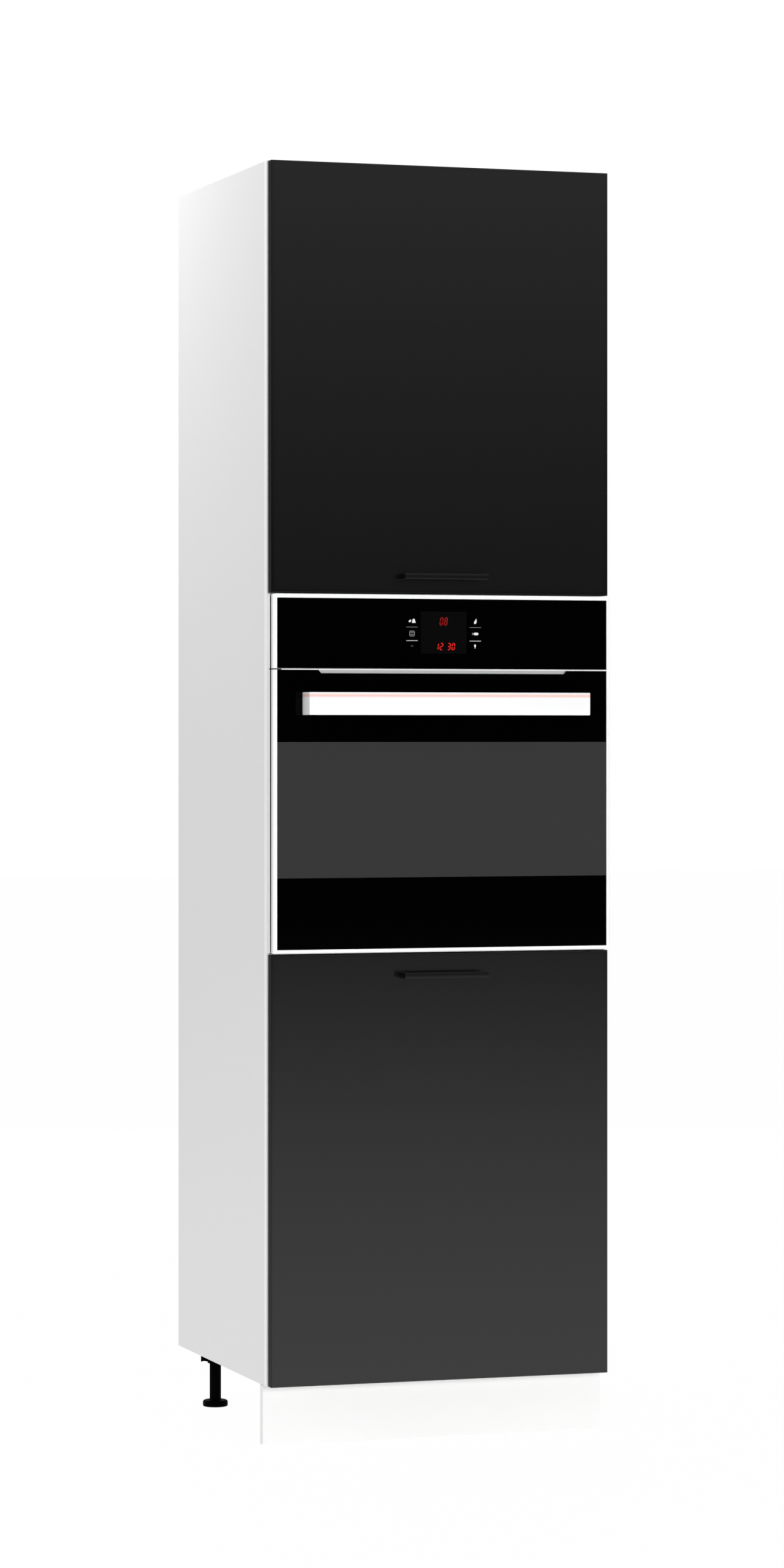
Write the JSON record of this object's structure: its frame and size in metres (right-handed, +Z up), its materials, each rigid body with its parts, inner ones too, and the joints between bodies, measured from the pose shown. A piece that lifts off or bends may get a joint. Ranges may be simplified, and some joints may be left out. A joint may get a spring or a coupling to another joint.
{
  "type": "tall kitchen cabinet with a built-in oven",
  "caption": "Tall white cabinet with anthracite hinged doors above and below a built-in oven, bar handles, plinth and adjustable legs.",
  "frame": {"origin": "middle of the footprint of the whole unit, on the floor under the feet", "axes": "+X to the viewer's right, +Y to the back, +Z up; the doors face -Y"},
  "size_m": [0.6, 0.622, 2.14],
  "materials": {
    "white_board": "white melamine on chipboard, fine matt texture",
    "white_hardboard": "white lacquered hardboard",
    "anthracite_front": "anthracite satin lacquer on fibreboard",
    "black_metal": "satin black powder coat",
    "black_plastic": "moulded, matt",
    "nickel": "nickel plated",
    "zinc": "zinc plated",
    "galvanised_sheet": "galvanised sheet",
    "mineral_wool": "mineral wool blanket",
    "grey_enamel": "vitreous enamel, glossy",
    "bright_steel": "chrome plated wire",
    "seal_rubber": "matt",
    "lamp_glass": "ribbed clear glass",
    "white_shell": "white gloss",
    "black_glass": "black printed glass, glossy",
    "display_module": "matt black",
    "clear_rubber": "translucent silicone",
    "tinted_glass": "clear heat-reflecting glass",
    "white_aluminium": "white gloss coat"
  },
  "bodies": {
    "cabinet": {"side_left": "white_board", "side_right": "white_board", "bottom_panel": "white_board", "oven_shelf": "white_board", "upper_fixed_shelf": "white_board", "top_panel": "white_board", "rear_rail": "white_board", "back_lower": "white_hardboard", "back_upper": "white_hardboard", "shelf_lower": "white_board", "shelf_upper_a": "white_board", "shelf_upper_b": "white_board", "shelf_pins": "zinc", "cam_locks": "zinc", "leg_brackets": "black_plastic", "leg_columns": "black_plastic", "leg_feet": "black_plastic", "plinth_board": "white_board", "plinth_clips": "black_plastic", "wall_brackets": "zinc", "hinge_plates": "nickel", "hinge_arms": "nickel", "oven_housing": "galvanised_sheet", "oven_insulation": "mineral_wool", "oven_cavity": "grey_enamel", "oven_front_flange": "galvanised_sheet", "door_seal": "seal_rubber", "oven_hinge_levers": "galvanised_sheet", "side_runners": "bright_steel", "wire_rack": "bright_steel", "baking_tray": "grey_enamel", "grill_element": "bright_steel", "fan_cover": "grey_enamel", "fan_motor": "zinc", "oven_lamp": "lamp_glass", "terminal_cover": "black_plastic", "panel_frame": "white_shell", "panel_glass": "black_glass", "display_unit": "display_module", "oven_screws": "zinc"},
    "upper_door": {"upper_door": "anthracite_front", "upper_handle": "black_metal", "upper_cups": "nickel", "upper_bumpers": "clear_rubber", "upper_handle_screws": "zinc"},
    "upper_links": {"upper_links": "nickel"},
    "lower_door": {"lower_door": "anthracite_front", "lower_handle": "black_metal", "lower_cups": "nickel", "lower_bumpers": "clear_rubber", "lower_handle_screws": "zinc"},
    "lower_links": {"lower_links": "nickel"},
    "oven_door": {"oven_door_frame": "white_shell", "oven_door_glass": "black_glass", "oven_door_panes": "tinted_glass", "oven_handle": "white_aluminium", "oven_handle_screws": "zinc", "oven_door_trim": "bright_steel", "oven_door_hinges": "galvanised_sheet"},
    "fan": {"fan_wheel": "galvanised_sheet"}
  },
  "joints": [
    {"name": "upper_door_hinge", "type": "hinge", "parent": "cabinet", "child": "upper_door", "pos_m": [0.2914, -0.253, 1.78], "axis": [0, 0, 1], "range_deg": [0, 100]},
    {"name": "upper_link_hinge", "type": "hinge", "parent": "cabinet", "child": "upper_links", "pos_m": [0.26765, -0.24243, 1.78], "axis": [0, 0, 1], "range_deg": [-33, 0]},
    {"name": "lower_door_hinge", "type": "hinge", "parent": "cabinet", "child": "lower_door", "pos_m": [0.2914, -0.253, 0.46], "axis": [0, 0, 1], "range_deg": [0, 100]},
    {"name": "lower_link_hinge", "type": "hinge", "parent": "cabinet", "child": "lower_links", "pos_m": [0.26765, -0.24243, 0.46], "axis": [0, 0, 1], "range_deg": [-33, 0]},
    {"name": "oven_door_hinge", "type": "hinge", "parent": "cabinet", "child": "oven_door", "pos_m": [0, -0.263, 0.833], "axis": [1, 0, 0], "range_deg": [0, 90]},
    {"name": "fan_spin", "type": "hinge", "parent": "cabinet", "child": "fan", "pos_m": [0, 0.159, 1.067], "axis": [0, 1, 0], "continuous": true}
  ],
  "couplings": [
    {"joint": "upper_link_hinge", "follows": "upper_door_hinge", "ratio": -0.32747},
    {"joint": "lower_link_hinge", "follows": "lower_door_hinge", "ratio": -0.32747}
  ]
}
